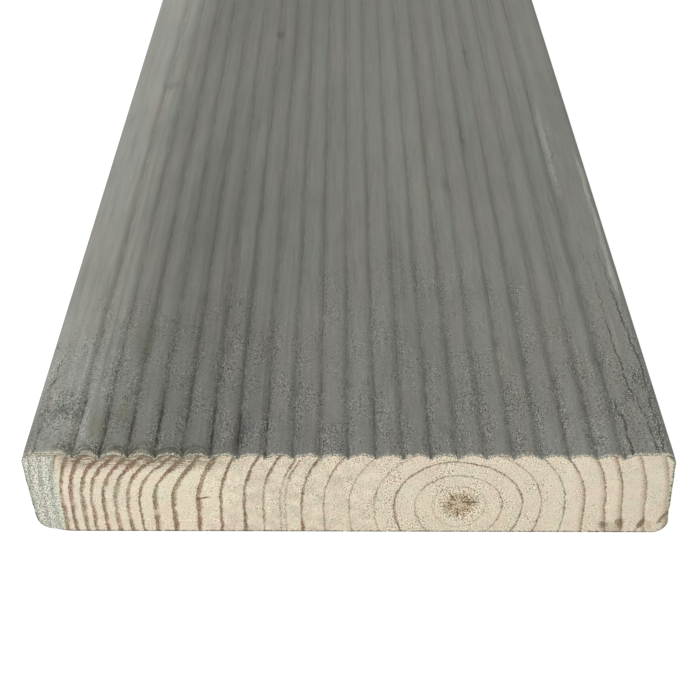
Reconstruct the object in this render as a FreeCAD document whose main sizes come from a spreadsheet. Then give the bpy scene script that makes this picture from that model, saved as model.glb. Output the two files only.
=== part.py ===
# Softwood decking board: one planed plank whose walking face is reeded along its length.
#
# The board lies flat, reeds upwards, as it would across its joists. X runs across it, Y
# along it and Z up. The origin is under the middle of the board, on the surface that it
# rests on. All sizes are in millimetres.

import FreeCAD
import Part
import Sketcher

import math
import os

NODE = "decking_board"

SIZES = {
    "length": 1800.0,  # a length that this section is sold in
    "width": 145.0,  # of the walking face, before its edges are rounded
    "thickness": 24.0,  # underside to walking face
    "side_lean": 1.2,  # how far both sides shift to the right from top to underside
    "upper_radius": 3.0,  # the two edges of the walking face
    "lower_left_radius": 5.5,  # the left edge of the underside
    "lower_right_radius": 3.5,  # the right edge of the underside
    "reed_pitch": 6.1,  # one reed to the next
    "groove_depth": 1.35,  # crest of a reed to the bottom of the groove beside it
    "groove_radius": 0.3,  # at the bottom of a groove
    "plain_margin": 10.0,  # least width left flat beside the outermost grooves
}

# The section is centred on its full width. Both sides lean to the right, so that width
# runs from the upper left corner to the lower right one.
LEFT_UPPER_X = "-(sizes.width + sizes.side_lean) / 2"
LEFT_LOWER_X = "-(sizes.width - sizes.side_lean) / 2"
RIGHT_UPPER_X = "(sizes.width - sizes.side_lean) / 2"
RIGHT_LOWER_X = "(sizes.width + sizes.side_lean) / 2"

# As many whole reeds as fit between the margins, centred on the walking face.
REED_COUNT = "floor((sizes.width - 2 * sizes.plain_margin) / sizes.reed_pitch)"
FIRST_GROOVE_X = f"-(sizes.side_lean + sizes.reed_pitch * {REED_COUNT}) / 2"

# How far the reeding cutter stands out above the walking face.
CUTTER_RISE = 2.0

# The numbered points of a sketched line or arc, and the sketch's own horizontal axis.
START, END, CENTRE = range(1, 4)
HORIZONTAL_AXIS = -1

UP = FreeCAD.Vector(0, 0, 1)


def make_sheet(document):
    """The driving dimensions, one named cell each."""
    sheet = document.addObject("Spreadsheet::Sheet", "sizes")
    for row, (name, size) in enumerate(SIZES.items(), start=1):
        sheet.set(f"A{row}", name)
        sheet.set(f"B{row}", str(size))
        sheet.setAlias(f"B{row}", name)
    document.recompute()


def section_sketch(body, name):
    """An empty sketch across the board: right in it is +X and up in it is +Z."""
    plane = next(f for f in body.Origin.OriginFeatures if f.Role == "XZ_Plane")
    sketch = body.newObject("Sketcher::SketchObject", name)
    sketch.AttachmentSupport = [(plane, "")]
    sketch.MapMode = "FlatFace"
    return sketch


def bind(sketch, kind, *where, formula):
    """A dimension of the sketch that follows a formula of the sheet's sizes."""
    drawn_size = sketch.evalExpression(formula)
    index = sketch.addConstraint(Sketcher.Constraint(kind, *where, drawn_size))
    sketch.setExpression(f"Constraints[{index}]", formula)


def draw_blank(body):
    """The planed blank's four-sided section."""
    sketch = section_sketch(body, "blank_section")
    corners = [
        FreeCAD.Vector(sketch.evalExpression(x), sketch.evalExpression(z), 0)
        for x, z in (
            (LEFT_LOWER_X, "0"),
            (RIGHT_LOWER_X, "0"),
            (RIGHT_UPPER_X, "sizes.thickness"),
            (LEFT_UPPER_X, "sizes.thickness"),
        )
    ]
    sides = [
        sketch.addGeometry(Part.LineSegment(start, end), False)
        for start, end in zip(corners, corners[1:] + corners[:1])
    ]
    for side, next_side in zip(sides, sides[1:] + sides[:1]):
        sketch.addConstraint(Sketcher.Constraint("Coincident", side, END, next_side, START))
    underside, _, face, _ = sides
    for end in (START, END):
        sketch.addConstraint(
            Sketcher.Constraint("PointOnObject", underside, end, HORIZONTAL_AXIS)
        )
    sketch.addConstraint(Sketcher.Constraint("Horizontal", face))
    bind(sketch, "DistanceY", face, START, formula="sizes.thickness")
    bind(sketch, "DistanceX", underside, START, formula=LEFT_LOWER_X)
    bind(sketch, "DistanceX", underside, END, formula=RIGHT_LOWER_X)
    bind(sketch, "DistanceX", face, START, formula=RIGHT_UPPER_X)
    bind(sketch, "DistanceX", face, END, formula=LEFT_UPPER_X)
    return sketch


def pad_blank(body):
    """The blank at its full length, half of it on each side of the origin."""
    profile = draw_blank(body)
    blank = body.newObject("PartDesign::Pad", "blank")
    blank.Profile = profile
    blank.SideType = "Symmetric"
    blank.setExpression("Length", "sizes.length")
    body.Document.recompute()
    return blank


def corner_edge(shape, across, up):
    """The edge along the board at one corner of its section, such as (-1, 1), upper left."""
    reach = [across * e.CenterOfMass.x + up * e.CenterOfMass.z for e in shape.Edges]
    return f"Edge{reach.index(max(reach)) + 1}"


def round_corners(body, base, name, corners, radius):
    """Corners of the section rounded along the whole board, to a size of the sheet."""
    rounding = body.newObject("PartDesign::Fillet", name)
    rounding.Base = (base, [corner_edge(base.Shape, *corner) for corner in corners])
    rounding.setExpression("Radius", radius)
    body.Document.recompute()
    return rounding


def draw_groove(body):
    """The cutter that shapes one groove and half a reed on each side of it.

    A reed is one arc, level at its crest, and a smaller arc joins it to the next reed at
    the bottom of their groove. The sketch lies at the leftmost groove.
    """
    sketch = section_sketch(body, "groove_section")
    half_pitch = sketch.evalExpression("sizes.reed_pitch / 2")
    depth = sketch.evalExpression("sizes.groove_depth")
    root_radius = sketch.evalExpression("sizes.groove_radius")
    root_x = sketch.evalExpression(FIRST_GROOVE_X)
    crest_z = sketch.evalExpression("sizes.thickness")

    # A reed's centre lies this far from the root's, and its arc turns this much.
    centre_distance = (half_pitch**2 + depth**2) / (2 * depth)
    reed_radius = centre_distance - root_radius
    flank_angle = math.asin(half_pitch / centre_distance)

    def arc(x, z, radius, start_angle, end_angle):
        circle = Part.Circle(FreeCAD.Vector(x, z, 0), UP, radius)
        return sketch.addGeometry(Part.ArcOfCircle(circle, start_angle, end_angle), False)

    def line(start_x, start_z, end_x, end_z):
        start = FreeCAD.Vector(start_x, start_z, 0)
        end = FreeCAD.Vector(end_x, end_z, 0)
        return sketch.addGeometry(Part.LineSegment(start, end), False)

    left_x = root_x - half_pitch
    right_x = root_x + half_pitch
    reed_z = crest_z - reed_radius
    top_z = crest_z + CUTTER_RISE
    upward = math.pi / 2
    downward = 3 * math.pi / 2
    left_reed = arc(left_x, reed_z, reed_radius, upward - flank_angle, upward)
    root = arc(
        root_x,
        crest_z - depth + root_radius,
        root_radius,
        downward - flank_angle,
        downward + flank_angle,
    )
    right_reed = arc(right_x, reed_z, reed_radius, upward, upward + flank_angle)
    right_wall = line(right_x, crest_z, right_x, top_z)
    lid = line(right_x, top_z, left_x, top_z)
    left_wall = line(left_x, top_z, left_x, crest_z)

    left_crest = (left_reed, END)
    right_crest = (right_reed, START)
    for kind, *points in (
        ("Tangent", left_reed, START, root, START),
        ("Tangent", root, END, right_reed, END),
        ("Coincident", *right_crest, right_wall, START),
        ("Coincident", right_wall, END, lid, START),
        ("Coincident", lid, END, left_wall, START),
        ("Coincident", left_wall, END, *left_crest),
        ("Vertical", *left_crest, left_reed, CENTRE),
        ("Vertical", *right_crest, right_reed, CENTRE),
        ("Horizontal", *left_crest, *right_crest),
        ("Vertical", left_wall),
        ("Vertical", right_wall),
        ("Horizontal", lid),
        ("Equal", left_reed, right_reed),
        ("DistanceY", right_wall, START, right_wall, END, CUTTER_RISE),
    ):
        sketch.addConstraint(Sketcher.Constraint(kind, *points))
    depth_of_centre = "sizes.groove_depth - sizes.groove_radius"
    bind(sketch, "Radius", root, formula="sizes.groove_radius")
    bind(sketch, "DistanceX", root, CENTRE, formula=FIRST_GROOVE_X)
    bind(sketch, "DistanceY", root, CENTRE, *right_crest, formula=depth_of_centre)
    bind(sketch, "DistanceY", *right_crest, formula="sizes.thickness")
    bind(sketch, "DistanceX", *left_crest, *right_crest, formula="sizes.reed_pitch")
    return sketch


def reed_face(body, base):
    """The grooves cut side by side over the walking face, from end to end of the board."""
    profile = draw_groove(body)
    groove = body.newObject("PartDesign::Pocket", "groove")
    groove.Profile = profile
    groove.SideType = "Symmetric"
    groove.Type = "ThroughAll"
    body.Document.recompute()

    reeding = body.newObject("PartDesign::LinearPattern", "reeding")
    reeding.Originals = [groove]
    reeding.Direction = (profile, ["H_Axis"])
    reeding.Mode = "Spacing"
    reeding.setExpression("Offset", "sizes.reed_pitch")
    reeding.setExpression("Occurrences", f"{REED_COUNT} + 1")
    body.Tip = reeding
    body.Document.recompute()

    one_groove = base.Shape.Volume - groove.Shape.Volume
    all_grooves = base.Shape.Volume - reeding.Shape.Volume
    if one_groove <= 0 or round(all_grooves / one_groove) != reeding.Occurrences:
        raise RuntimeError(f"a groove takes {one_groove} mm3, all of them {all_grooves} mm3")


def check(document, body):
    """Stops the build at a failed object, or at a board that isn't one sound solid."""
    for item in document.Objects:
        if "Invalid" in item.State or "Error" in item.State:
            raise RuntimeError(f"{item.Name} failed: {item.State}")
    if body.Shape.isNull() or not body.Shape.isValid() or len(body.Shape.Solids) != 1:
        raise RuntimeError(f"{body.Label} isn't one sound solid")


def main():
    document = FreeCAD.newDocument(NODE)
    make_sheet(document)
    body = document.addObject("PartDesign::Body", "board")
    body.Label = NODE
    body.Placement = FreeCAD.Placement()

    board = pad_blank(body)
    for name, corners, radius in (
        ("upper_rounding", ((-1, 1), (1, 1)), "sizes.upper_radius"),
        ("lower_left_rounding", ((-1, -1),), "sizes.lower_left_radius"),
        ("lower_right_rounding", ((1, -1),), "sizes.lower_right_radius"),
    ):
        board = round_corners(body, board, name, corners, radius)
    reed_face(body, board)

    document.recompute()
    check(document, body)
    os.makedirs("parts", exist_ok=True)
    body.Shape.exportStep(os.path.join("parts", f"{body.Label}.step"))
    print(body.Label, body.Shape.BoundBox, f"{body.Shape.Volume:.0f} mm3")


main()
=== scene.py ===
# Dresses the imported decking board: one plank of grey-stained softwood with a reeded
# walking face, seen from its freshly sawn end.

import functools
import math

import bpy
import numpy as np
from mathutils import Matrix, Vector
from mathutils.geometry import delaunay_2d_cdt


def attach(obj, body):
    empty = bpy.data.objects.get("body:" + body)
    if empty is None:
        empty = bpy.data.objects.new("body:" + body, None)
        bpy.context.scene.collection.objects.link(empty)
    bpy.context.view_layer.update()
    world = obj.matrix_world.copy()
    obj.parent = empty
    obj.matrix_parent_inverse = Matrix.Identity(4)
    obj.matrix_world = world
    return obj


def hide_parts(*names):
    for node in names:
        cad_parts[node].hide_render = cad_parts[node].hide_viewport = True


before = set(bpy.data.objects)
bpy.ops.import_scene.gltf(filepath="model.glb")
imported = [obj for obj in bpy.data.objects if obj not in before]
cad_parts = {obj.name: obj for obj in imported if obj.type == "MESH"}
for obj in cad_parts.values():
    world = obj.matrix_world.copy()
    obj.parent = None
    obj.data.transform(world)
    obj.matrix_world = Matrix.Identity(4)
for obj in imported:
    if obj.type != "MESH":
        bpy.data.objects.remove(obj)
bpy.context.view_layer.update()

NODE = "decking_board"
MM = 0.001

# Section of the board in millimetres, as in the part's source
LENGTH = 1800
WIDTH = 145
THICKNESS = 24
SIDE_LEAN = 1.2
UPPER_RADIUS = 3
LOWER_LEFT_RADIUS = 5.5
LOWER_RIGHT_RADIUS = 3.5
REED_PITCH = 6.1
GROOVE_DEPTH = 1.35
GROOVE_RADIUS = 0.3
PLAIN_MARGIN = 10

REED_COUNT = math.floor((WIDTH - 2 * PLAIN_MARGIN) / REED_PITCH)
FIRST_GROOVE_X = -(SIDE_LEAN + REED_PITCH * REED_COUNT) / 2
LAST_GROOVE_X = FIRST_GROOVE_X + REED_PITCH * REED_COUNT
HALF_PITCH = REED_PITCH / 2
CENTRE_DISTANCE = (HALF_PITCH**2 + GROOVE_DEPTH**2) / (2 * GROOVE_DEPTH)
REED_RADIUS = CENTRE_DISTANCE - GROOVE_RADIUS
FLANK_ANGLE = math.asin(HALF_PITCH / CENTRE_DISTANCE)
NEAR_END_Y = -LENGTH / 2
FAR_END_Y = LENGTH / 2

# Growth rings on the sawn end, in millimetres, read from the photograph. Each ring
# has its radius at mid-height, how dark its line is and half the line's width.
PITH_X = 24.5
PITH_Z = 9
RINGS_CENTRE_Z = 8.6
RINGS_LEFT = (
    (0, 0, 0.1), (6.1, 0.25, 0.1), (9.9, 0.45, 0.12), (14.7, 0.8, 0.14),
    (19.2, 0.35, 0.12), (24.9, 0.4, 0.12), (30.7, 0.48, 0.14), (35.7, 0.65, 0.2),
    (39.65, 0.28, 0.11), (40.25, 0.25, 0.11), (44.3, 0.45, 0.18), (48.6, 0.55, 0.26),
    (54, 0.92, 0.22), (59, 0.65, 0.36), (64.7, 0.88, 0.38), (69, 0.6, 0.3),
    (72.3, 0.92, 0.2), (75, 0.45, 0.28), (77.7, 0.42, 0.36), (80.5, 0.72, 0.3),
    (83.1, 0.45, 0.26), (85.1, 0.6, 0.34), (87.7, 0.88, 0.32), (89.7, 0.62, 0.28),
    (92, 0.35, 0.3), (94.5, 0.35, 0.3), (97, 0.35, 0.3), (100, 0.35, 0.3),
)
RINGS_RIGHT = (
    (0, 0, 0.1), (6.2, 0.25, 0.1), (9.8, 0.45, 0.12), (14.4, 0.6, 0.13),
    (18.7, 0.45, 0.12), (24.1, 0.45, 0.13), (28.5, 0.8, 0.11), (33.2, 1, 0.12),
    (36.9, 1.05, 0.12), (42.2, 0.4, 0.14), (47.2, 0.25, 0.16), (53, 0.35, 0.2),
    (58, 0.35, 0.2), (63, 0.35, 0.2),
)

# How much flatter than a circle the rings lie above and below the pith's height, by
# distance to the left and to the right of the pith
FLAT_LEFT_REACH = (15, 26.5, 40, 50.8, 54, 57, 59, 63, 67, 72, 76, 79, 81, 83, 85, 88)
FLAT_LEFT_ABOVE = (
    1.1, 1.15, 1.27, 1.38, 1.56, 1.72, 2.1, 2.28, 2.46, 2.24, 2.22, 2.18, 2.05, 1.85, 1.72, 1.45
)
FLAT_LEFT_BELOW_REACH = (15, 26.5, 40, 50, 58.5, 73.5, 84.5, 98)
FLAT_LEFT_BELOW = (0.85, 0.7, 0.2, 0.05, 0.1, 0.9, 0.7, 0.5)
FLAT_RIGHT_REACH = (12, 19, 24, 29, 34)
FLAT_RIGHT_BELOW = (0.88, 0.8, 0.63, 0.3, 0.1)
FLAT_RIGHT_ABOVE_REACH = (26, 31)
FLAT_RIGHT_ABOVE = (1.14, 1.02)

# How far the rings at the right lean outwards for each millimetre below the pith's height
LEAN_BELOW = 0.12

# Camera, fitted to the photograph's long edges and end
PHOTO_SIZE = 696
FOCAL_PIXELS = 1247.1
SENSOR_MM = 36
CAMERA_MM = (-1.92, -1104.64, 207.66)
PITCH_DOWN = math.radians(37.049)
YAW_RIGHT = math.radians(0.297)
ROLL = math.radians(0.356)
CLIP_START = 0.01

# Wear of this board near its sawn end, in millimetres
WORN_CREST = 0.2
WORN_UNEVENLY = 0.05
WORN_MORE_AT_END = 0.12
KNOCKED_EDGE = 0.65
KNOCKED_EDGE_X = -67.9
MISSING_FIBRES = 0.14

# Rings of points along the board: how far the first ones are from the sawn end, then start,
# end and step of the close ones, and the number of far ones
FIRST_STATIONS = (0, 0.25, 0.6, 1.2, 2)
CLOSE_STATIONS = (4, 300, 2.4)
FAR_STATIONS = 96

# Points of the section beside a groove, and of the grid that fills an end
ACROSS_GROOVE = (0, 0.13, 0.26, 0.75, 1.4, 2.2)
ROW_HEIGHT = 0.95
CLEAR_OF_RIM = 0.4

# Light: the floor's half size in metres, its greys and glow, and the lamps with their
# places, sizes and watts
FLOOR_REACH = 6
FLOOR_GREY = 0.8
FLOOR_DIM = 0.25
FLOOR_GLOW = 0.85
SKY_STRENGTH = 0.8
LAMPS = (("key", (-1.3, -2, 1.6), 1.4, 13), ("front", (0.6, -3, 0.9), 1.6, 8))
LAMP_TARGET = (0, -0.8, 0)


def smoothstep(low, high, value):
    part = np.clip((value - low) / (high - low), 0, 1)
    return part * part * (3 - 2 * part)


def waves(where, seed, longest, shortest, count):
    """A smooth irregular line between about -1 and 1: seeded sine waves added up."""
    random = np.random.default_rng(seed)
    lengths = np.geomspace(longest, shortest, count)
    total = np.zeros_like(np.asarray(where, float))
    for length in lengths:
        phase = random.uniform(0, 2 * math.pi)
        size = (length / longest) ** 0.6 * random.uniform(0.6, 1)
        total = total + size * np.sin(2 * math.pi * np.asarray(where) / length + phase)
    return total / sum((length / longest) ** 0.6 for length in lengths)


# Section: outline points and surface height


def reeded_height(x):
    """Height of the walking face at x, before wear."""
    x = np.asarray(x, float)
    nearest = np.clip(np.round((x - FIRST_GROOVE_X) / REED_PITCH), 0, REED_COUNT)
    away = np.abs(x - FIRST_GROOVE_X - nearest * REED_PITCH)
    root_reach = GROOVE_RADIUS * math.sin(FLANK_ANGLE)
    root_z = THICKNESS - GROOVE_DEPTH + GROOVE_RADIUS
    in_root = root_z - np.sqrt(np.maximum(GROOVE_RADIUS**2 - away**2, 0))
    reed_z = THICKNESS - REED_RADIUS
    on_reed = reed_z + np.sqrt(REED_RADIUS**2 - np.clip(HALF_PITCH - away, 0, None) ** 2)
    return np.where(away <= root_reach, in_root, on_reed)


def corner_arc(corner, before, after, radius, steps):
    """Points of the rounding at a corner, on the way from one neighbour to the other."""
    corner, before, after = (np.array(p, float) for p in (corner, before, after))
    towards_before = (before - corner) / np.linalg.norm(before - corner)
    towards_after = (after - corner) / np.linalg.norm(after - corner)
    half_angle = math.acos(np.dot(towards_before, towards_after)) / 2
    middle = towards_before + towards_after
    middle /= np.linalg.norm(middle)
    centre = corner + middle * radius / math.sin(half_angle)
    start = corner + towards_before * radius / math.tan(half_angle) - centre
    end = corner + towards_after * radius / math.tan(half_angle) - centre
    first = math.atan2(start[1], start[0])
    turn = math.atan2(end[1], end[0]) - first
    turn = (turn + math.pi) % (2 * math.pi) - math.pi
    angles = first + turn * np.linspace(0, 1, steps + 1)
    return centre + radius * np.stack([np.cos(angles), np.sin(angles)], -1)


def section_outline():
    """The section's outline clockwise from its lower left corner, as x and z."""
    upper_left = (-(WIDTH + SIDE_LEAN) / 2, THICKNESS)
    lower_left = (-(WIDTH - SIDE_LEAN) / 2, 0)
    upper_right = ((WIDTH - SIDE_LEAN) / 2, THICKNESS)
    lower_right = ((WIDTH + SIDE_LEAN) / 2, 0)
    arc_1 = corner_arc(lower_left, lower_right, upper_left, LOWER_LEFT_RADIUS, 8)
    arc_2 = corner_arc(upper_left, lower_left, upper_right, UPPER_RADIUS, 7)
    arc_3 = corner_arc(upper_right, upper_left, lower_right, UPPER_RADIUS, 7)
    arc_4 = corner_arc(lower_right, upper_right, lower_left, LOWER_RIGHT_RADIUS, 7)

    def between(a, b, steps):
        share = np.linspace(0, 1, steps + 1)[1:-1, None]
        return a + (b - a) * share

    first_crest = FIRST_GROOVE_X - HALF_PITCH
    last_crest = LAST_GROOVE_X + HALF_PITCH
    from_groove = np.array(ACROSS_GROOVE)
    grooves = FIRST_GROOVE_X + REED_PITCH * np.arange(REED_COUNT)
    pieces = [np.linspace(arc_2[-1, 0], first_crest, 7)[1:], FIRST_GROOVE_X - from_groove]
    for groove in grooves:
        pieces += [groove + from_groove, groove + REED_PITCH - from_groove]
    pieces += [grooves + HALF_PITCH, LAST_GROOVE_X + from_groove]
    pieces.append(np.linspace(last_crest, arc_3[0, 0], 7)[:-1])
    across = np.unique(np.round(np.concatenate(pieces), 6))
    face = np.stack([across, reeded_height(across)], -1)
    left = between(arc_1[-1], arc_2[0], 9)
    right = between(arc_3[-1], arc_4[0], 10)
    under = between(arc_4[-1], arc_1[0], 60)
    return np.concatenate([arc_1, left, arc_2, face, arc_3, right, arc_4, under])


# Growth rings: how many rings out from the pith a point of the wood is


def ring_radius(x, y, z):
    """Mid-height radius of the ring through each point, and the share of the left side."""
    along = y - NEAR_END_Y
    fade_in = smoothstep(0, 120, along)
    pith_x = PITH_X + fade_in * 3 * waves(along, 11, 900, 200, 3)
    pith_z = fade_in * 1.6 * waves(along, 12, 1100, 260, 3)
    wobble = 0.5 * waves(along + 3.1 * x, 13, 120, 26, 3) * fade_in
    right = x - pith_x
    up = z - RINGS_CENTRE_Z - pith_z
    near_pith = np.exp(-(right**2 + up**2) / 60)
    up = up - (PITH_Z - RINGS_CENTRE_Z) * near_pith
    to_left = smoothstep(4, -4, right)
    above = smoothstep(-1, 1, up)
    left_above = np.interp(-right, FLAT_LEFT_REACH, FLAT_LEFT_ABOVE)
    left_below = np.interp(-right, FLAT_LEFT_BELOW_REACH, FLAT_LEFT_BELOW)
    right_below = np.interp(right, FLAT_RIGHT_REACH, FLAT_RIGHT_BELOW)
    right_above = np.interp(right, FLAT_RIGHT_ABOVE_REACH, FLAT_RIGHT_ABOVE)
    left_stretch = left_below + (left_above - left_below) * above
    right_stretch = right_below + (right_above - right_below) * above
    stretch = right_stretch + (left_stretch - right_stretch) * to_left
    # Far to the left the rings stay upright and bend only near the walking face
    height = THICKNESS - RINGS_CENTRE_Z
    hooked = to_left * above * np.interp(-right, (20, 45), (0, 1))
    bend = np.clip(up / height, 0.001, None) ** (0.12 * hooked)
    radius = np.sqrt(right**2 + (stretch * up * bend) ** 2)
    radius = radius - LEAN_BELOW * np.clip(-up, 0, None) * smoothstep(27, 32, right)
    return radius + wobble * np.clip(np.abs(right) / 30, 0, 1), to_left


def ring_facts(x, y, z):
    """Ring number, line strength, line half-width and ring width at points of the wood."""
    radius, to_left = ring_radius(x, y, z)
    nudge = 0.1
    across = (ring_radius(x + nudge, y, z)[0] - radius) / nudge
    upwards = (ring_radius(x, y, z + nudge)[0] - radius) / nudge
    crowding = np.clip(np.hypot(across, upwards), 0.7, 2.2)

    def read(rings):
        radii = np.array([r[0] for r in rings])
        count = np.interp(radius, radii, np.arange(len(rings)))
        extra = np.clip(radius - radii[-1], 0, None) / (radii[-1] - radii[-2])
        strength = np.interp(radius, radii, [r[1] for r in rings])
        half_width = np.interp(radius, radii, [r[2] for r in rings])
        middles = (radii[1:] + radii[:-1]) / 2
        ring_width = np.interp(radius, middles, np.diff(radii)) / crowding
        return np.stack([count + extra, strength, half_width, ring_width])

    left, right_side = read(RINGS_LEFT), read(RINGS_RIGHT)
    return right_side + (left - right_side) * to_left


# The mesh of the board


def stations():
    """Places along the board with a ring of points, closer together near the sawn end."""
    near = NEAR_END_Y + np.array(FIRST_STATIONS)
    start, end, step = CLOSE_STATIONS
    detailed = np.arange(NEAR_END_Y + start, NEAR_END_Y + end, step)
    plain = np.linspace(NEAR_END_Y + NEAR_SKIN_LENGTH, FAR_END_Y - 2, FAR_STATIONS)
    return np.concatenate([near, detailed, plain, [FAR_END_Y]])


def shaped(outline, y):
    """The section at one place along the board, with its small irregularities."""
    x, z = outline[:, 0].copy(), outline[:, 1].copy()
    face = (z > THICKNESS - GROOVE_DEPTH - 0.5) & (np.abs(x) < WIDTH / 2 - 3)
    in_reeds = smoothstep(FIRST_GROOVE_X - 2, FIRST_GROOVE_X + 1, x)
    in_reeds *= smoothstep(LAST_GROOVE_X + 2, LAST_GROOVE_X - 1, x)
    height = (z - (THICKNESS - GROOVE_DEPTH)) / GROOVE_DEPTH
    along = y - NEAR_END_Y
    worn = WORN_CREST + WORN_UNEVENLY * waves(y + 37 * x, 21, 160, 30, 3)
    worn = worn + WORN_MORE_AT_END * smoothstep(5, 0, along)
    z = np.where(face, z - in_reeds * np.clip(height, 0, 1) * worn, z)
    # The lower left edge is knocked flat near the sawn end
    bump = np.exp(-(((x - KNOCKED_EDGE_X) / 1.7) ** 2))
    z = np.where(z < 2.5, z + KNOCKED_EDGE * smoothstep(70, 20, along) * bump, z)
    # Fibres are missing from both sides of the sawn end
    missing = MISSING_FIBRES * (1 + waves(z, 22, 7, 1.5, 3)) * smoothstep(3, 0, along)
    side = (z > 4) & (z < THICKNESS - 1) & (np.abs(x) > WIDTH / 2 - 3)
    x = np.where(side, x - np.sign(x) * missing, x)
    return x, z


def build_mesh():
    """Points, faces and, for each face, 0 on the skin, 1 on the near and 2 on the far end."""
    outline = section_outline()
    count = len(outline)
    places = stations()
    points = []
    for y in places:
        x, z = shaped(outline, y)
        points.append(np.stack([x, np.full(count, y), z], -1))
    points = np.concatenate(points)

    faces = []
    for low in range(0, (len(places) - 1) * count, count):
        high = low + count
        for i in range(count):
            j = (i + 1) % count
            faces.append((low + i, low + j, high + j, high + i))
    is_end = [0] * len(faces)

    added = []
    for end, y in ((0, NEAR_END_Y), (1, FAR_END_Y)):
        base = 0 if end == 0 else (len(places) - 1) * count
        rim = points[base : base + count][:, [0, 2]]
        inner = inner_points(rim)
        both = [Vector(p) for p in np.concatenate([rim, inner])]
        edges = [(i, (i + 1) % count) for i in range(count)]
        flat, _, triangles, origins, *_ = delaunay_2d_cdt(both, edges, [], 1, 1e-6)
        first_new = len(points) + sum(len(a) for a in added) - count
        where = [k[0] + (base if k[0] < count else first_new) for k in origins]
        for triangle in triangles:
            a, b, c = (flat[k] for k in triangle)
            ordered = [where[k] for k in triangle]
            if ((b - a).cross(c - a) > 0) != (end == 0):
                ordered.reverse()
            faces.append(tuple(ordered))
            is_end.append(1 + end)
        added.append(np.insert(inner, 1, y, axis=1))
    return np.concatenate([points, *added]), faces, is_end


def inner_points(rim):
    """A grid of points inside the rim of an end, clear of its edge."""
    found = []
    for row, z in enumerate(np.arange(0.7, THICKNESS - GROOVE_DEPTH - 0.3, ROW_HEIGHT)):
        for x in np.arange(-WIDTH / 2 + 0.5 * (row % 2), WIDTH / 2, 1):
            found.append((x, z))
    found = np.array(found)
    x, z = found.T
    near = np.hypot(x[:, None] - rim[:, 0], z[:, None] - rim[:, 1]).min(1)
    left = -(WIDTH + SIDE_LEAN) / 2 + SIDE_LEAN * (1 - z / THICKNESS)
    right = (WIDTH - SIDE_LEAN) / 2 + SIDE_LEAN * (1 - z / THICKNESS)
    inside = (x > left + CLEAR_OF_RIM) & (x < right - CLEAR_OF_RIM) & (near > 0.45)
    for side, corner_x, radius in ((-1, left, LOWER_LEFT_RADIUS), (1, right, LOWER_RIGHT_RADIUS)):
        across = radius - side * (corner_x - x)
        down = radius - z
        in_corner = (across > 0) & (down > 0)
        inside &= ~(in_corner & (np.hypot(across, down) > radius - CLEAR_OF_RIM))
    return found[inside]


def distance_below_face(points):
    """How deep each point of an end lies under the walking face."""
    return np.clip(reeded_height(points[:, 0]) - points[:, 2], 0, None)


def distance_from_outline(points):
    """How far each point lies inside the section's outline: 0 except inside the ends."""
    outline = section_outline()
    along = np.roll(outline, -1, 0) - outline
    length = np.maximum((along**2).sum(1), 1e-12)
    distance = np.zeros(len(points))
    for row in range(len(stations()) * len(outline), len(points)):
        offset = points[row][[0, 2]] - outline
        share = np.clip((offset * along).sum(1) / length, 0, 1)
        gap = offset - share[:, None] * along
        distance[row] = np.sqrt((gap**2).sum(1).min())
    return distance


def build_board(materials):
    points, faces, is_end = build_mesh()
    mesh = bpy.data.meshes.new("decking_board_wood")
    mesh.from_pydata((points * MM).tolist(), [], faces)
    mesh.update()
    for material in materials:
        mesh.materials.append(material)
    mesh.polygons.foreach_set("material_index", is_end)
    mesh.polygons.foreach_set("use_smooth", [kind == 0 for kind in is_end])
    names = ("ring_count", "ring_strength", "ring_half_width", "ring_width")
    facts = dict(zip(names, ring_facts(*points.T)))
    facts["below_face"] = distance_below_face(points)
    facts["from_edge"] = distance_from_outline(points)
    for name, values in facts.items():
        mesh.attributes.new(name, "FLOAT", "POINT").data.foreach_set("value", values)
    sharpen_rims(mesh, is_end)
    lay_out_texture(mesh, points, is_end)
    board = bpy.data.objects.new("decking_board_wood", mesh)
    bpy.context.scene.collection.objects.link(board)
    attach(board, "root")
    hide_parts(NODE)


def sharpen_rims(mesh, is_end):
    """Marks the edges round both ends as sharp, so that the sawn ends stay flat."""
    kinds = {}
    for polygon in mesh.polygons:
        for key in polygon.edge_keys:
            kinds.setdefault(key, set()).add(is_end[polygon.index])
    for edge in mesh.edges:
        if len(kinds[edge.key]) > 1:
            edge.use_edge_sharp = True


# Layout of a texture for the board: each part's left, bottom, width and height in it
NEAR_SKIN_BOX = (0.004, 0.004, 0.648, 0.838)
FAR_SKIN_BOX = (0.66, 0.004, 0.336, 0.992)
NEAR_END_BOX = (0.004, 0.848, 0.648, 0.107)
FAR_END_BOX = (0.004, 0.961, 0.213, 0.035)
NEAR_SKIN_LENGTH = 301
CLOSEST_LENGTH = 100
UNDERSIDE_ROOM = 0.25


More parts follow.
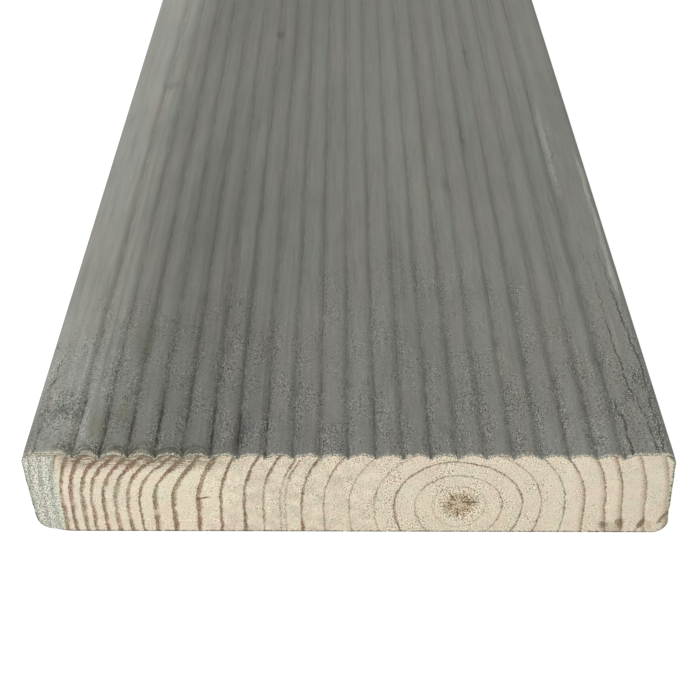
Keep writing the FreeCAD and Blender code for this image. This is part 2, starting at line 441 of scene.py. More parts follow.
def lay_out_texture(mesh, points, is_end):
    """Gives the walking face and the sawn end more of a texture than the hidden parts."""
    outline, along = section_outline(), stations() - NEAR_END_Y
    following = np.roll(outline, -1, 0)
    steps = np.hypot(*(following - outline).T)
    on_underside = (outline[:, 1] < 0.1) & (following[:, 1] < 0.1)
    steps = np.where(on_underside, steps * UNDERSIDE_ROOM, steps)
    around = np.concatenate([[0], np.cumsum(steps)]) / steps.sum()

    def placed(box, across, up):
        return np.stack([box[0] + box[2] * across, box[1] + box[3] * up], -1)

    near_up = np.interp(along, (0, CLOSEST_LENGTH, NEAR_SKIN_LENGTH), (0, 0.5, 1))
    far_up = np.interp(along, (NEAR_SKIN_LENGTH, LENGTH), (0, 1))
    low, place = np.meshgrid(np.arange(len(along) - 1), np.arange(len(outline)), indexing="ij")
    corners = []
    for further, onward in ((0, 0), (0, 1), (1, 1), (1, 0)):
        across = around[place + onward]
        near = placed(NEAR_SKIN_BOX, across, near_up[low + further])
        far = placed(FAR_SKIN_BOX, across, far_up[low + further])
        is_near = along[low + 1] <= NEAR_SKIN_LENGTH + 0.01
        corners.append(np.where(is_near[..., None], near, far))
    skin = np.stack(corners, 2).reshape(-1, 2)

    used = np.zeros(len(mesh.loops), np.int32)
    mesh.loops.foreach_get("vertex_index", used)
    across = points[used, 0] / (WIDTH + SIDE_LEAN) + 0.5
    up = points[used, 2] / THICKNESS
    at_far_end = np.repeat(np.array(is_end) == 2, [p.loop_total for p in mesh.polygons])
    near = placed(NEAR_END_BOX, across, up)
    flat = np.where(at_far_end[:, None], placed(FAR_END_BOX, across, up), near)
    flat[: len(skin)] = skin
    layer = mesh.uv_layers.new(name="OFBake")
    layer.data.foreach_set("uv", flat.ravel())


# Materials

WHITE = (1, 1, 1, 1)
SPECULAR = 0.25


def linear(*shade):
    """A colour written as 0 to 255 on screen, as the shader wants it."""
    return (*(((value / 255 + 0.055) / 1.055) ** 2.4 for value in shade), 1)


class Value:
    """A node's output; arithmetic signs on it add math nodes to its graph."""

    def __init__(self, graph, socket):
        self.graph = graph
        self.socket = socket

    def __add__(self, other):
        return self.graph.math("ADD", self, other)

    def __radd__(self, other):
        return self.graph.math("ADD", other, self)

    def __sub__(self, other):
        return self.graph.math("SUBTRACT", self, other)

    def __rsub__(self, other):
        return self.graph.math("SUBTRACT", other, self)

    def __mul__(self, other):
        return self.graph.math("MULTIPLY", self, other)

    def __truediv__(self, other):
        return self.graph.math("DIVIDE", self, other)

    def __neg__(self):
        return self * -1

    def __abs__(self):
        return self.graph.math("ABSOLUTE", self)


class Graph:
    """Adds nodes to a tree. Inputs are numbers, colours, vectors, outputs or values."""

    def __init__(self, tree):
        self.tree = tree

    def put(self, socket, value):
        if isinstance(value, Value):
            value = value.socket
        if isinstance(value, bpy.types.NodeSocket):
            self.tree.links.new(value, socket)
        elif socket.type == "VECTOR" and isinstance(value, tuple):
            socket.default_value = value[:3]
        else:
            socket.default_value = value

    def node(self, kind, *values, **settings):
        """A new node with its first inputs filled in their order."""
        node = self.tree.nodes.new("ShaderNode" + kind)
        for name, setting in settings.items():
            setattr(node, name, setting)
        for socket, value in zip(node.inputs, values):
            self.put(socket, value)
        return node

    def result(self, kind, *values, output=0, **settings):
        """The output of a new node."""
        return Value(self, self.node(kind, *values, **settings).outputs[output])

    def math(self, operation, *values, clamp=False):
        return self.result("Math", *values, operation=operation, use_clamp=clamp)

    def at_least(self, a, b):
        return self.math("MAXIMUM", a, b)

    def most(self, values):
        """The largest of several values."""
        return functools.reduce(self.at_least, values)

    def at_most(self, a, b):
        return self.math("MINIMUM", a, b)

    def limited(self, value):
        """The value, kept between 0 and 1."""
        return self.math("MULTIPLY", value, 1, clamp=True)

    def vector(self, operation, *values):
        return self.result("VectorMath", *values, operation=operation)

    def scaled(self, vector, factor):
        """A vector or a colour times a number."""
        node = self.node("VectorMath", vector, operation="SCALE")
        self.put(node.inputs["Scale"], factor)
        return Value(self, node.outputs[0])

    def length(self, vector):
        return self.result("VectorMath", vector, output="Value", operation="LENGTH")

    def combine(self, x, y, z):
        return self.result("CombineXYZ", x, y, z)

    def attribute(self, name):
        return self.result("Attribute", output="Fac", attribute_name=name)

    def step(self, value, low, high):
        """0 below low and 1 above high, smooth between; low may be above high."""
        return self.result("MapRange", value, low, high, 0, 1, interpolation_type="SMOOTHSTEP")

    def window(self, value, start, full, still_full, end):
        """1 from full to still_full, 0 before start and after end."""
        return self.step(value, start, full) * self.step(value, end, still_full)

    def spread(self, value, low, high):
        """Maps 0..1 to low..high without a limit."""
        return self.result("MapRange", value, 0, 1, low, high, clamp=False)

    def curve(self, value, stops):
        """Straight lines between stops of (place, height)."""
        low, high = stops[0][0], stops[-1][0]
        ramp = self.node("ValToRGB", self.result("MapRange", value, low, high))
        elements = ramp.color_ramp.elements
        while len(elements) < len(stops):
            elements.new(1)
        for element, (place, height) in zip(elements, stops):
            element.position = (place - low) / (high - low)
            element.color = (height, height, height, 1)
        return Value(self, ramp.outputs["Color"])

    def mix(self, share, a, b):
        node = self.node("Mix", share, data_type="RGBA")
        self.put(node.inputs[6], a)
        self.put(node.inputs[7], b)
        return Value(self, node.outputs[2])


class WoodGraph(Graph):
    """One material of the board: its colour so far, and places in millimetres."""

    def __init__(self, name):
        self.material = bpy.data.materials.new(name)
        self.material.use_nodes = True
        super().__init__(self.material.node_tree)
        self.place = self.scaled(self.result("TexCoord", output="Object"), 1 / MM)
        split = self.node("SeparateXYZ", self.place)
        self.x, self.y, self.z = (Value(self, socket) for socket in split.outputs)
        self.colour = WHITE

    def noise(self, stretch, detail=2, roughness=0.5, shift=0, place=None):
        """Noise from 0 to 1; stretch is how many of its cells fit in a millimetre."""
        if not isinstance(stretch, tuple):
            stretch = (stretch, stretch, stretch)
        moved = self.vector("MULTIPLY", place or self.place, stretch)
        node = self.node("TexNoise", self.vector("ADD", moved, (shift, shift, shift)))
        self.put(node.inputs["Scale"], 1)
        self.put(node.inputs["Detail"], detail)
        self.put(node.inputs["Roughness"], roughness)
        return Value(self, node.outputs["Fac"])

    def swing(self, *noise, place=None):
        """Noise from -0.5 to 0.5."""
        return self.noise(*noise, place=place) - 0.5

    def cover(self, share, colour):
        self.colour = self.mix(share, self.colour, colour)

    def paint(self, shade, share):
        self.cover(share, linear(*shade))

    def tone(self, factor):
        self.colour = self.scaled(self.colour, factor)

    def finish(self, roughness, height, bump_mm):
        shader = self.tree.nodes["Principled BSDF"]
        self.put(shader.inputs["Base Color"], self.colour)
        self.put(shader.inputs["Roughness"], roughness)
        self.put(shader.inputs["Specular IOR Level"], SPECULAR)
        bump = self.node("Bump")
        self.put(bump.inputs["Height"], height)
        self.put(bump.inputs["Distance"], bump_mm * MM)
        self.put(shader.inputs["Normal"], bump.outputs["Normal"])
        return self.material


def ring_line(g, soft):
    """How much a point lies on a ring's dark line, and in the wider fringe inside it.

    A ring darkens slowly outwards and ends sharply where the next one starts.
    """
    jitter = g.swing((0.6, 0.05, 0.6), 3, 0.6, 4) * 0.8
    ragged = g.swing((2.6, 0.05, 2.6), 2, 0.7, 14) * 1.2
    half_width = g.attribute("ring_half_width")
    count = g.attribute("ring_count")
    phase = count - g.math("ROUND", count)
    away = phase * g.attribute("ring_width") - half_width * 0.8 + jitter + ragged
    swelling = g.spread(g.noise((0.22, 0.05, 0.22), 2, 0.6, 121), -0.2, 2.2)
    swelling = g.at_least(swelling, 0.35)
    inner = -away / (half_width * swelling * (3.2 * soft))
    outer = away / (half_width * (0.9 * soft))
    ends = g.step(outer, 1.2, 0.6)
    return g.step(inner, 1, 0.25) * ends, g.step(away, -1.5, -0.1) * ends


def dots(g, size, shift, share):
    """Small round specks; share is how much of the surface they cover, roughly."""
    edge = 0.74 - 0.9 * share
    return g.step(g.noise(1 / size, 1, 0.5, shift), edge, edge + 0.06)


def stroke(g, x, z, start, end, half_width):
    """A straight crack on the sawn end from start to end, in millimetres of x and z."""
    along_x, along_z = end[0] - start[0], end[1] - start[1]
    length = math.hypot(along_x, along_z)
    along_x, along_z = along_x / length, along_z / length
    from_x, from_z = x - start[0], z - start[1]
    along = from_x * along_x + from_z * along_z
    off = abs(from_x * along_z - from_z * along_x)
    taper = g.step(along, length, 0.6 * length)
    started = g.step(along, -0.1, 0.1)
    return g.step(off, half_width * 1.6, half_width * 0.4) * taper * started


# Cracks in the pith and in one ring: start and end in x and z, and half the width
CRACKS = (
    ((25.3, 9.3), (29.8, 9.5), 0.27),
    ((23.8, 9.8), (21.6, 12.9), 0.14),
    ((24.4, 7.4), (24.1, 4.2), 0.13),
    ((24.8, 9.4), (26.6, 12.2), 0.09),
    ((24, 8.8), (20.8, 7.8), 0.12),
    ((-35.2, 10.4), (-31, 10.7), 0.3),
)

# Brown smudges low on the right-hand rings: x, z, reach across and up, and their lean
SMUDGES = (
    (58, 2.6, 1.2, 1.25, 0),
    (61.7, 2.6, 1.1, 1.9, 0),
    (66.8, 3.1, 0.66, 3.1, 0.36),
    (71.4, 4.8, 0.75, 2, 0.4),
)


def groove_places(g, x):
    """Millimetres to the right of the nearest groove at a place across the board."""
    reed = (x - FIRST_GROOVE_X) / REED_PITCH
    nearest = g.math("ROUND", reed)
    nearest = g.at_most(g.at_least(nearest, 0), REED_COUNT)
    return (reed - nearest) * REED_PITCH


def sawn_material(name, stained):
    """The end grain: rings, pith, rays and the stain that crept in round the edge."""
    g = WoodGraph(name)
    x, z = g.x, g.z
    line, fringe = ring_line(g, 1)
    patch = g.swing(0.09, 3, 0.55, 1)
    cloud = g.swing(0.5, 3, 0.6, 1.5)
    grit = g.swing(1.7, 4, 0.8, 2)
    fine = g.swing(3.6, 1, 0.8, 3)
    cluster = g.step(g.noise(0.17, 3, 0.6, 23), 0.47, 0.6)

    from_pith = g.vector("SUBTRACT", g.place, (PITH_X, NEAR_END_Y, PITH_Z))
    flat = g.vector("MULTIPLY", from_pith, (1, 0, 1))
    distance = g.length(flat)
    direction = g.vector("NORMALIZE", flat)
    juvenile = g.step(distance, 36, 10)

    # Rays from the pith, as short pale scratches across the rings
    spokes = g.scaled(direction, g.spread(juvenile, 150, 40))
    outward = g.combine(0, distance * 0.22, 0)
    rays = g.noise(1, 2, 0.7, 0, place=g.vector("ADD", spokes, outward))
    pale_ray = g.step(rays, 0.6, 0.7)
    dark_ray = g.step(rays, 0.38, 0.3)

    # Dark lines, darker where they bend under the walking face at the left
    strength = g.attribute("ring_strength")
    uneven = g.spread(g.noise(0.3, 2, 0.6, 7), -0.35, 2.65)
    uneven = g.at_least(uneven, 0)
    uneven = uneven * g.spread(g.step(x, 6, -30), 1, 1.12)
    at_right = g.step(x, 45, 52)
    broken = 1 + grit * 4.5 + fine * 5.5 + at_right * (0.25 + fine * 5)
    at_left = g.step(x, 0, -20)
    high = g.step(z, 14, 20) * g.window(x, -66.5, -63, -20, 0) * 0.6
    low = g.step(z, 8, 2) * g.step(x, -15, -30) * 0.2
    heavy = g.limited((strength + high + low) * uneven)
    line = line * heavy * broken
    outer_right = g.step(x, 47, 54) * (0.62 + fine * 5 + grit * 3)

    early = linear(223, 211, 189)
    pinkish = linear(225, 208, 190)
    greenish = linear(217, 212, 189)
    late = linear(114, 90, 62)
    ruddy = linear(138, 88, 70)
    olive = linear(124, 116, 70)
    mauve = linear(160, 138, 118)
    wood_tint = g.noise(0.2, 1, 0.5, 37)
    early = g.mix(g.step(wood_tint, 0.5, 0.62) * 0.6, early, pinkish)
    early = g.mix(g.step(wood_tint, 0.48, 0.38) * 0.6, early, greenish)
    early = g.mix(g.step(x, -64.6, -66) * 0.9, early, linear(212, 213, 188))
    pink_ring = g.window(x, -65.4, -64.8, -63.4, -62.6)
    pink_height = g.window(z, 4.5, 7.5, 14.5, 17)
    pink_ring = pink_ring * g.spread(pink_height, 0.25, 0.8)
    early = g.mix(pink_ring, early, linear(226, 208, 191))
    red_share = g.step(g.noise((0.25, 0.25, 0.12), 2, 0.5, 9), 0.5, 0.6)
    olive_share = g.step(g.noise((0.25, 0.25, 0.12), 2, 0.5, 67), 0.56, 0.62)
    mauve_share = g.step(g.noise((0.2, 0.2, 0.1), 2, 0.5, 19), 0.54, 0.62)
    late = g.mix(at_right, late, linear(88, 70, 48))
    dark = g.mix(red_share * at_left * 0.85, late, ruddy)
    dark = g.mix(olive_share * at_left * 0.8, dark, olive)
    dark = g.mix(mauve_share * at_left * 0.5, dark, mauve)
    g.colour = g.mix(g.limited(line), early, dark)
    brown_dots = dots(g, 0.36, 87, 0.22)
    soft_edge = g.limited(fringe * (outer_right * 0.72))
    g.paint((170, 148, 119), soft_edge)
    speckled_edge = fringe * g.step(x, 47, 54) * brown_dots * 0.55
    g.paint((132, 110, 80), speckled_edge)

    pale_dots = dots(g, 0.36, 31, 0.12)
    dark_dots = dots(g, 0.4, 47, 0.17)
    middle = g.window(x, -36, -28, 4, 12)
    rough_area = (
        0.34
        + juvenile * (0.18 + cluster * 0.55)
        + cluster * 0.42
        + line * 0.7
        + g.step(z, 18, 22) * 0.25
        + g.step(distance, 7.5, 3.5) * 1.2
        + middle * 0.1
        - at_right * 0.09
    )
    texture = grit * 0.9 + fine * 2.5
    tone = (
        1.05
        + patch * 0.16
        + cloud * (0.26 + middle * 0.56)
        - middle * 0.015
        + g.step(x, -20, -32) * g.step(z, 21, 17) * 0.08
        + texture * rough_area
        + pale_ray * 0.12
        - dark_ray * 0.1
        - g.step(x, 58, 66) * 0.05
    )
    g.tone(g.at_least(tone, 0.2))
    dark_specks = g.limited(dark_dots * rough_area * 0.66)
    g.paint((122, 96, 66), dark_specks)
    pale_specks = g.limited(pale_dots * rough_area * 0.85)
    g.paint((244, 237, 218), pale_specks)

    # Pith: tan wood full of dark granules, with cracks
    spikes = g.noise(1, 3, 0.7, 5, place=g.scaled(direction, 5))
    reach = distance + (spikes - 0.5) * 7 + cloud * 3
    core = g.step(reach, 4.9, 1.4)
    centre = g.step(distance, 1.6, 0.4)
    g.paint((187, 165, 122), core * g.spread(centre, 0.6, 0.44))
    grains = g.noise(2, 2, 0.7, 61)
    granules = g.step(grains + core * 0.11, 0.575, 0.62)
    granules = granules * g.step(reach, 4.9, 3.3) * g.spread(g.step(distance, 1, 2.4), 0.08, 0.78)
    g.paint((103, 82, 53), granules)
    wander = cloud * 1.2
    crack_x, crack_z = x + wander, z - wander
    cracks = g.most([stroke(g, crack_x, crack_z, *crack) for crack in CRACKS])
    cracks = cracks * g.spread(fine, 0.9, 2.2)
    g.paint((92, 68, 44), g.limited(cracks * 0.85))
    for middle_x, middle_z, reach_x, reach_z, lean in SMUDGES:
        across, upward = x - middle_x, z - middle_z
        across = across - upward * lean
        offset = g.combine(across * (1 / reach_x), 0, upward * (1 / reach_z))
        near = g.length(offset) + cloud * 2.6 + grit * 3.4
        smudge = g.step(near, 1.25, 0.3)
        smudge = smudge * g.step(g.length(offset), 1.35, 0.95)
        smudge = smudge * (0.9 + fine * 4 + grit * 2)
        g.paint((114, 94, 66), g.limited(smudge * 0.95))
    low_right = g.step(z, 4.6, 2) * g.window(x, 57, 58.5, 61.5, 63.5)
    g.paint((150, 126, 100), low_right * 0.3)
    tan_x = g.window(x, 67.4, 68.3, 68.9, 69.6)
    tan_z = g.window(z, 0.9, 1.6, 3, 3.9)
    g.paint((196, 172, 140), tan_x * tan_z * 0.55)
    speckled_x = g.step(x, 69, 70.4) * g.window(z, 5, 6.5, 8.4, 10.4)
    g.paint((168, 138, 106), speckled_x * brown_dots * 0.5)

    # A brown band with fine scratches under the walking face at the left
    brown_band = g.step(z, 18.4, 21.8) * g.window(x, -66, -62, -38, -22)
    scratch = g.swing((0.35, 0.35, 3.2), 2, 0.7, 27)
    brown_band = brown_band * (0.52 + scratch * 4 + grit * 2.4 + cloud * 1.6)
    g.paint((128, 112, 88), g.limited(brown_band))

    # Grey stain: in the sapwood at the left, under the walking face and round the edge
    sap_edge = x + grit * 3 + cloud * 2
    sap = g.step(sap_edge, -65.4, -66.9) * 0.95
    from_middle = z - 10
    bowed = x + 71.7 - from_middle * from_middle * 0.0045 + cloud * 1.2
    sap_rings = g.math("COSINE", bowed * 2.732)
    sap_rings = g.step(sap_rings, 0.1, 0.85) * (1 + cloud * 3)
    sap_tone = (
        1.11
        + grit * 3.5
        + fine * 4.6
        - sap_rings * 0.25
        - g.step(x, -69, -73) * 0.06
    )
    sap_tone = g.at_least(sap_tone, 0.3)
    sap_green = g.step(g.noise((0.35, 0.35, 0.15), 2, 0.5, 45), 0.42, 0.58)
    sap_base = g.mix(sap_green, linear(200, 197, 184), linear(196, 200, 184))
    sap_wood = g.scaled(sap_base, sap_tone)
    pale_sap = dots(g, 0.5, 71, 0.22) * (0.95 - sap_rings * 0.6)
    sap_wood = g.mix(pale_sap, sap_wood, linear(240, 239, 229))
    sap_wood = g.mix(dots(g, 0.5, 83, 0.18) * 0.75, sap_wood, linear(120, 122, 110))
    g.cover(sap, sap_wood)

    grey_tone = g.at_least(1 + grit * 2.6 + fine * 3.6, 0.3)
    grey = g.scaled(linear(118, 117, 106), grey_tone)
    ragged = grit * 1.6 + fine * 1.2
    below = g.attribute("below_face")
    stripe = g.step(below + ragged, 1.5, 0.7) * g.step(x, -22, -40)
    stripe = stripe * (0.48 + grit * 2.2 + scratch * 2.5)
    g.paint((130, 121, 99), g.limited(stripe))
    # A pale line along the top of the sawn end: unstained wood with a painted highlight on the
    # edge
    rim_share = g.step(below + ragged * 0.4, 0.56, 0.36) * 0.88
    g.paint((224, 218, 197), rim_share)
    valley = g.step(abs(groove_places(g, x)), 1.3, 0.3)
    creep = (
        below
        + ragged * g.spread(at_right, 0.6, 0.35)
        + valley * g.spread(at_right, -0.18, -0.08)
    )
    g.cover(g.step(creep, 0, -0.15), grey)
    corner = x + z + grit * 2 - (WIDTH / 2 + THICKNESS)
    g.cover(g.step(corner, -3.4, -2.8), grey)
    from_edge = g.attribute("from_edge")
    rim = from_edge + grit * 2.2 + fine * 2
    at_right_edge = g.step(x, 69, 71.5)
    upper_side = g.step(z, 6.5, 9)
    fringe_gaps = g.step(g.noise((0, 0, 0.45), 2, 0.6, 107), 0.4, 0.54)
    pale_fringe = at_right_edge * upper_side * fringe_gaps * g.step(rim, 1.25, 0.7) * 0.75
    g.paint((204, 210, 190), pale_fringe)
    dull_fringe = at_right_edge * g.step(rim, 1.2, 0.4) * 0.3
    dull_fringe = dull_fringe * (1 - upper_side * fringe_gaps)
    g.paint((172, 177, 159), dull_fringe)
    edge_dash = g.step(g.noise((0, 0, 0.7), 2, 0.7, 77), 0.44, 0.54)
    edge_share = g.spread(edge_dash, 0.25, 0.98) * g.spread(upper_side, 0.5, 1)
    edge_line = at_right_edge * g.step(rim, 0.6, 0.36) * edge_share
    g.paint((58, 62, 54), edge_line)
    edge_shade = g.spread(at_right_edge, 0.9, 0.35)
    g.paint((92, 90, 76), g.step(rim, 0.36, 0.1) * edge_shade)
    dash = g.step(g.noise((0.4, 0.8, 0), 2, 0.6, 97), 0.45, 0.53)
    low_edge = g.step(z + grit * 1.2 + fine * 0.8, 0.42, 0.2)
    g.paint((84, 78, 64), low_edge * dash * 0.8)
    if stained:
        g.paint((118, 118, 111), 0.72)

    height = grit * 0.8 + fine * 0.9 + line * 0.15 - cracks * 0.8 + pale_ray * 0.15
    rough = g.spread(grit, 0.88, 0.97)
    return g.finish(rough, height, 0.22)


# Dark broken lines on the two plain margins: x and distance from the sawn end of both
# ends of each, and half its width
MARGIN_LINES = (
    ((-69, 28.5), (-70.3, 22.5), 0.24),
    ((-68.8, 36), (-69.6, 29), 0.1),
    ((-69.7, 10), (-70.1, 0), 0.22),
    ((67.6, 88), (68.2, 60), 0.2),
    ((67.9, 66), (69, 43), 0.26),
    ((62.7, 90), (64.4, 70), 0.12),
    ((64.4, 72), (64.5, 50), 0.13),
    ((62.2, 163), (62.3, 136), 0.16),
    ((68.9, 45), (69.8, 28), 0.24),
    ((69.7, 30), (69, 0), 0.18),
    ((64.3, 52), (64.5, 36), 0.16),
    ((64.5, 38), (65.6, 20), 0.22),
    ((61.3, 21), (62.2, 0), 0.22),
    ((66.4, 22), (67.6, 2), 0.14),
)

# Stains on the walking face near the sawn end: x and distance from the end, reach across
# and along, colour, and how strongly it covers
FACE_STAINS = (
    ((-57.7, 9), (2, 5), (128, 122, 96), 0.55),
    ((-52.2, 14), (2.2, 5.5), (118, 114, 92), 0.5),
    ((-24.4, 9), (1.9, 7), (74, 68, 70), 0.6),
    ((-66.8, 14), (4.6, 3.4), (86, 90, 82), 0.5),
    ((-50.5, 43), (2.4, 9), (104, 102, 82), 0.35),
    ((-30, 39), (0.9, 4), (106, 94, 82), 0.38),
    ((22, 8), (2.4, 2.2), (92, 86, 84), 0.4),
    ((61.3, 148), (1, 30), (152, 152, 143), 0.9),
    ((66.5, 172), (5, 30), (112, 112, 107), 0.35),
    ((35.5, 153), (0.9, 9), (86, 86, 80), 0.5),
    ((41.2, 216), (0.9, 10), (88, 88, 82), 0.5),
    ((28.4, 120), (1.4, 5), (96, 95, 89), 0.5),
    ((20.5, 118), (1.6, 11), (138, 137, 127), 0.4),
    ((25, 141), (0.8, 9), (138, 138, 124), 0.45),
    ((-25.4, 231), (1.5, 2.8), (84, 84, 80), 0.6),
    ((-60.2, 187), (3, 4), (116, 118, 112), 0.55),
    ((-41, 100), (7, 34), (104, 103, 98), 0.3),
    ((-52, 150), (5, 26), (112, 111, 106), 0.28),
    ((-43, 20), (2.2, 7), (112, 104, 100), 0.35),
)

# Brightness of the walking face across the board: x and brightness
TONE_ACROSS = (
    (-73, 0.73), (-64, 0.76), (-59.5, 0.65), (-52, 0.495), (-38, 0.435),
    (-25, 0.455), (0, 0.5), (40, 0.51), (62, 0.52), (73, 0.53),
)


def stained_material():
    """The stained, weathered surface along the grain."""
    g = WoodGraph("grey_stained_wood")
    x, z = g.x, g.z
    line, _ = ring_line(g, 0.8)
    strength = g.attribute("ring_strength")
    along = g.y - NEAR_END_Y
    drift = g.swing((0.05, 0.02, 0.05), 2, 0.5, 17) * 120
    dusty = g.step(along + drift, 100, 12)
    close = g.step(along, 300, 60)

    # Noise along the grain, from broad to fine
    patch = g.swing((0.045, 0.012, 0.045), 3, 0.55, 1)
    streak = g.swing((0.4, 0.01, 0.4), 2, 0.6, 2)
    fibre = g.swing((2.4, 0.12, 2.4), 2, 0.65, 3)
    strand = g.swing((0.9, 0.06, 0.9), 3, 0.6, 33)
    grit = g.swing((2.2, 1.4, 2.2), 2, 0.8, 4)
    fine = g.swing((3.8, 2.5, 3.8), 1, 0.8, 5)
    blotch = g.swing((0.2, 0.07, 0.2), 3, 0.6, 15)
    cluster = g.step(g.noise((0.22, 0.08, 0.22), 3, 0.65, 23), 0.44, 0.6)
    flake = g.swing((1.4, 0.8, 1.4), 3, 0.7, 113)
    speckle = g.step(flake, -0.04, 0.06)

    slanting = g.combine(x - along * 0.18, along, 0)
    slant = g.swing((0.055, 0.009, 0), 3, 0.6, 101, place=slanting)

    # Where the point lies between two grooves: away is millimetres to the right of one
    sway = g.swing((0.3, 0.035, 0), 3, 0.6, 6) * 2.2
    sway = sway * g.spread(g.step(along, 15, 70), 0.35, 1)
    sway = sway * g.spread(g.step(x, -10, -35), 1, 1.35)
    ragged = g.swing((1.6, 0.45, 0), 3, 0.7, 6.5) * 1.5
    away = groove_places(g, x + sway)
    on_face = g.step(z, THICKNESS - GROOVE_DEPTH - 0.6, THICKNESS - GROOVE_DEPTH - 0.2)
    beside = g.step(abs(away), 1.7, 0.5) * on_face
    off_line = abs(away + 0.15 + ragged)
    dashes = g.step(g.noise((0.9, 0.22, 0), 3, 0.7, 28), 0.38, 0.6)
    groove = g.step(off_line, 0.5, 0.1) * on_face
    off_band = abs(away + 0.75 + ragged * 0.8)
    band = g.step(off_band, 1.2, 0.3) * on_face

    # Broad tone across the board
    side = x + patch * 12 + streak * 3
    across = g.curve(side, TONE_ACROSS)
    warm = linear(130, 128, 121)
    green = linear(127, 129, 123)
    tint = g.step(g.noise((0.16, 0.02, 0.16), 3, 0.6, 12), 0.35, 0.65)
    g.colour = g.mix(tint, warm, green)
    nearer = g.step(along, 130, 60)
    fresh = nearer * g.window(x, -27, -20, 34, 42) * -0.022
    worn_pale = g.step(along, 90, 190) * g.step(x, -47, -38) * 0.15
    worn_pale = worn_pale * g.step(x, -20, -27)
    right_front = g.step(x, 60, 64) * g.window(along, 2, 5, 30, 60) * 0.12
    left_near = g.window(along, 2, 5, 14, 26) * 0.14
    left_near = left_near - g.window(along, 22, 30, 44, 56) * 0.08
    left_near = left_near + g.window(along, 46, 62, 95, 150) * 0.1
    left_near = g.step(x, -61, -64) * left_near
    front_right = g.window(x, 41, 45, 59, 62) * g.step(along, 15, 8) * 0.16
    tone = across * (1.84 + fresh + worn_pale + right_front - left_near + front_right)
    margin_left = g.step(x, -62, -64.5)
    margin_rough = g.step(x, 61, 63.5) * g.step(along, 42, 26)
    rough_detail = (
        grit * 1.8
        + fine * 3.4
        + dots(g, 0.28, 31, 0.08) * 1.1
        - dots(g, 0.34, 57, 0.13)
    )
    amount = (
        0.22
        + cluster * 0.72
        + beside * 0.45
        + margin_left * g.step(along, 42, 24) * 0.2
        - margin_left * 0.08
        + margin_rough * 0.35
    )
    grained = 0.03 + dusty * amount
    detail = (
        1
        + patch * 0.2
        + blotch * g.spread(dusty, 0.12, 0.33)
        + slant * g.step(x, -8, -30) * 0.42
        + blotch * dusty * g.step(x, -42, -58) * 0.5
        + streak * 0.26
        + strand * g.spread(close, 0.11, 0.42)
        + fibre * g.spread(close, 0, 0.2)
        + rough_detail * grained
        + flake * dusty * (0.1 + cluster * 0.75 + g.step(x, -18, -34) * 0.22)
    )
    detail = g.at_least(detail, 0.22)
    g.tone(tone * detail)

    # Rings that come up through the face
    fading = g.spread(g.noise((0.3, 0.02, 0.3), 2, 0.5, 8), -0.5, 1.8)
    fading = g.at_least(fading, 0)
    crumbled = g.at_least(1 + fibre * 1.5 + grit * 4, 0)
    dark = line * strength * fading * crumbled
    dark_share = g.limited(dark * (0.16 + close * 0.14))
    g.paint((76, 74, 66), dark_share)

    # Grooves: a soft band on one side, painted shadow with some dirt, and a broken dark line near
    # the sawn end, grime with painted shade in the groove
    band_share = 0.05 + close * 0.1 + dusty * 0.05
    g.paint((70, 69, 64), band * band_share)
    # The broken dark line: grime with painted shade in the groove
    worn = g.spread(g.noise((0.2, 0.03, 0.2), 2, 0.5, 16), -0.8, 2.3)
    worn = g.at_least(worn, 0)
    specked = g.at_least(1 + grit * 6 + fine * 6, 0)
    depth = 0.02 + g.step(along, 120, 20) * 0.12
    near_groove = g.spread(g.step(x, 12, 26), 0.2, 0.11)
    depth = depth + g.step(along, 40, 4) * near_groove
    left_front = g.step(along, 34, 4) * g.step(x, -12, -25) * 0.5
    groove_share = groove * worn * (depth + left_front) * g.spread(dashes, 0.4, 1.2)
    groove_share = groove_share * g.mix(dusty, WHITE, specked)
    g.paint((58, 57, 49), g.limited(groove_share))
    worn_off = groove * (1 - dashes) * close * 0.22
    g.tone(1 + worn_off)
    distant = g.step(along, 60, 300)
    g.tone(1 + groove * distant * 0.22)

    # Marks near the sawn end: stains, broken dark lines, a rough network at the right
    wiggle = g.swing((0.02, 0.22, 0), 3, 0.7, 41) * 2.6
    wiggle = wiggle + g.swing((0.9, 0.9, 0), 2, 0.7, 43)
    gaps = g.step(g.noise((0.35, 0.28, 0), 2, 0.7, 49), 0.34, 0.5)
    for (middle_x, middle), (reach_x, reach_y), shade, share in FACE_STAINS:
        offset_x = (x - middle_x) / reach_x
        offset_y = (along - middle) / reach_y
        near = g.length(g.combine(offset_x, offset_y, 0))
        near = near + blotch * 2 + grit * 3.6
        stain = g.step(near, 1.25, 0.35) * share
        if middle < 50:
            stain = g.limited(stain * (g.spread(speckle, 0.45, 1.4) + fine * 4))
        g.paint(shade, stain)
    marks = []
    for (far_x, far), (near_x, near), half_width in MARGIN_LINES:
        lean = (near_x - far_x) / (near - far)
        off = abs(x - (far_x - lean * far + along * lean + wiggle))
        mark = g.step(off, half_width * 1.5, half_width * 0.5) * g.step(along, far, far - 3)
        darkness = 1 if far < 60 else 0.65 if far < 80 else 0.4
        marks.append(mark * g.step(along, near - 2, near + 1) * darkness)
    marks = g.most(marks) * g.spread(gaps, 0.3, 1.05) * (0.88 + grit * 4 + fine * 4 + blotch * 2)
    g.paint((62, 61, 53), g.limited(marks * 0.9))
    network = g.noise((0.9, 0.5, 0.9), 2, 0.7, 51)
    veins = g.step(abs(network - 0.5), 0.05, 0.01)
    network_share = veins * margin_rough * g.step(along, 2, 6) * g.spread(cluster, 0.35, 0.85)
    g.paint((80, 78, 70), network_share)
    arris = x + grit * 2 + strand * 3
    g.paint((84, 86, 80), g.step(arris, 70, 70.8) * 0.35)
    bare = g.window(arris, 68.8, 69.3, 69.9, 70.5) * g.step(z, 22, 23)
    bare = bare * g.window(along, 58, 68, 126, 142)
    bare = bare * (0.65 + blotch * 2 + strand * 2)
    g.paint((164, 165, 156), g.limited(bare * 0.75))
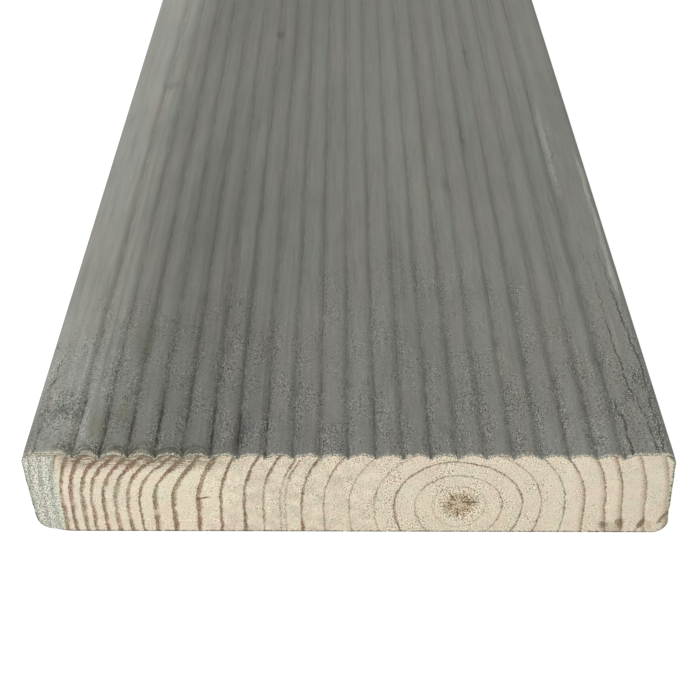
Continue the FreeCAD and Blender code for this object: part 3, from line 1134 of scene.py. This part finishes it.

    # The last few millimetres: dark stained at the left, with pale torn fibres on the edge and a
    # painted highlight along it
    torn = along + grit * 4 + fine * 2
    from_crest = HALF_PITCH - abs(away)
    arch = along + from_crest * from_crest * 0.22 + grit * 1.6
    arcs = g.noise((0.34, 1.5, 0), 2, 0.7, 91, place=g.combine(x, arch, 0))
    front_left = g.step(torn, 5.6, 2) * g.window(x, -68, -64, -36, -24)
    front = front_left * g.step(arcs, 0.57, 0.45) * 0.8
    g.paint((78, 73, 56), front)
    front_pale = front_left * g.step(arcs, 0.56, 0.64) * 0.26
    g.paint((156, 150, 128), front_pale)
    crest_fray = g.step(torn, 1.7, 0.6) * g.step(from_crest, 1.6, 0.7) * 0.34
    crest_fray = crest_fray * g.window(x, -69, -65, -46, -38)
    g.paint((204, 197, 174), crest_fray)
    # The pale line on the very edge: torn fibres with a painted highlight
    fray_and_highlight = g.step(torn, 0.36, 0.08) * g.step(z, 22.6, 23)
    g.paint((218, 211, 190), fray_and_highlight * 0.85)
    height = grit * 0.5 + fibre * 0.6 - dark * 0.4 + fine * 0.3
    rough = g.spread(grit, 0.8, 0.92)
    return g.finish(rough, height * g.spread(dusty, 0.5, 1), 0.2)


# Floor, light and camera


def build_floor():
    reach = FLOOR_REACH
    mesh = bpy.data.meshes.new("floor")
    corners = [(-reach, -reach, 0), (reach, -reach, 0), (reach, reach, 0), (-reach, reach, 0)]
    mesh.from_pydata(corners, [], [(0, 1, 2, 3)])
    floor = bpy.data.objects.new("floor", mesh)
    bpy.context.scene.collection.objects.link(floor)
    material = bpy.data.materials.new("white_floor")
    material.use_nodes = True
    material.node_tree.nodes.clear()
    g = Graph(material.node_tree)
    ray = g.node("LightPath").outputs
    seen = g.math("MAXIMUM", ray["Is Camera Ray"], ray["Is Glossy Ray"])
    plain = g.result("BsdfDiffuse", (FLOOR_GREY, FLOOR_GREY, FLOOR_GREY, 1))
    dim = g.result("BsdfDiffuse", (FLOOR_DIM, FLOOR_DIM, FLOOR_DIM, 1))
    glow = g.result("Emission", WHITE, FLOOR_GLOW)
    white = g.result("AddShader", dim, glow)
    g.node("OutputMaterial", g.result("MixShader", seen, plain, white))
    mesh.materials.append(material)


def build_world():
    world = bpy.data.worlds.new("studio")
    world.use_nodes = True
    g = Graph(world.node_tree)
    ray = g.node("LightPath").outputs
    back = g.tree.nodes["Background"].inputs
    g.put(back["Color"], WHITE)
    g.put(back["Strength"], g.result("MapRange", ray["Is Camera Ray"], 0, 1, SKY_STRENGTH, 1))
    bpy.context.scene.world = world


def build_lamp(name, place, size, watts):
    lamp = bpy.data.lights.new(name, "AREA")
    lamp.shape = "SQUARE"
    lamp.size = size
    lamp.energy = watts
    holder = bpy.data.objects.new(name, lamp)
    bpy.context.scene.collection.objects.link(holder)
    holder.location = place
    towards = Vector(LAMP_TARGET) - Vector(place)
    holder.rotation_euler = towards.to_track_quat("-Z", "Y").to_euler()


def build_camera():
    sideways, ahead = math.sin(YAW_RIGHT), math.cos(YAW_RIGHT)
    level_share, drop = math.cos(PITCH_DOWN), math.sin(PITCH_DOWN)
    forward = Vector((sideways * level_share, ahead * level_share, -drop))
    level = Vector((ahead, -sideways, 0))
    up = level.cross(forward)
    right = math.cos(ROLL) * level + math.sin(ROLL) * up
    upward = math.cos(ROLL) * up - math.sin(ROLL) * level
    turned = Matrix((right, upward, -forward)).transposed().to_4x4()
    data = bpy.data.cameras.new("camera")
    data.sensor_width = SENSOR_MM
    data.lens = FOCAL_PIXELS * SENSOR_MM / PHOTO_SIZE
    data.clip_start = CLIP_START
    camera = bpy.data.objects.new("camera", data)
    bpy.context.scene.collection.objects.link(camera)
    camera.matrix_world = Matrix.Translation(Vector(CAMERA_MM) * MM) @ turned
    bpy.context.scene.camera = camera


side_grain = stained_material()
fresh_end = sawn_material("freshly_sawn_end", False)
weathered_end = sawn_material("weathered_end", True)
build_board([side_grain, fresh_end, weathered_end])
build_floor()
build_world()
for lamp in LAMPS:
    build_lamp(*lamp)
build_camera()
bpy.context.scene.view_settings.view_transform = "Standard"
